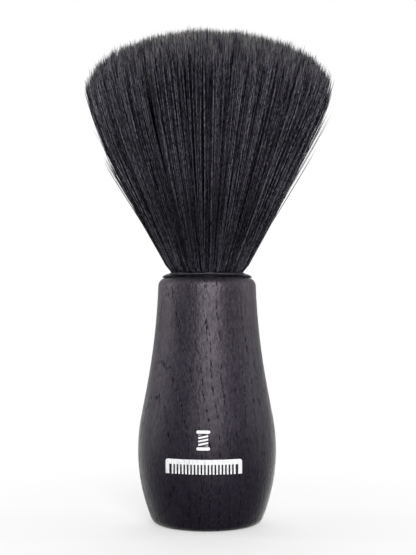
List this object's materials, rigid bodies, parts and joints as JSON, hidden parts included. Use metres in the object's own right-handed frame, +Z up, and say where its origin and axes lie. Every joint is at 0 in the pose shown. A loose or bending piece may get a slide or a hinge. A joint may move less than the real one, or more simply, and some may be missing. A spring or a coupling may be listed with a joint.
{
  "type": "neck duster brush",
  "caption": "Hand brush for dusting cut hair off the neck: black-stained turned wooden handle, moulded collar and a dense flared tuft of soft dark filaments.",
  "frame": {"origin": "centre of the handle's flat base, on the brush's axis", "axes": "+Z up the brush's axis from base to bristle tips, -Y towards the printed face, +X to the right of the print"},
  "size_m": [0.0782, 0.0782, 0.1572],
  "materials": {
    "stained_wood": "satin",
    "ferrule_plastic": "satin",
    "adhesive": "satin",
    "potting_resin": "gloss",
    "binding_cord": "matte",
    "filament": "satin",
    "print_ink": "satin"
  },
  "bodies": {
    "handle": {"handle": "stained_wood", "ferrule": "ferrule_plastic", "ferrule_adhesive": "adhesive", "bristle_plug": "potting_resin", "knot_binding": "binding_cord", "bristle_root": "filament", "printed_pole": "print_ink", "printed_comb": "print_ink"},
    "tuft": {"bristle_fan": "filament"}
  },
  "joints": [
    {"name": "bristle_flex", "type": "hinge", "parent": "handle", "child": "tuft", "pos_m": [0, 0, 0.0802], "axis": [0, 1, 0], "range_deg": [-25, 25], "stiffness_Nm_per_rad": 0.15}
  ]
}
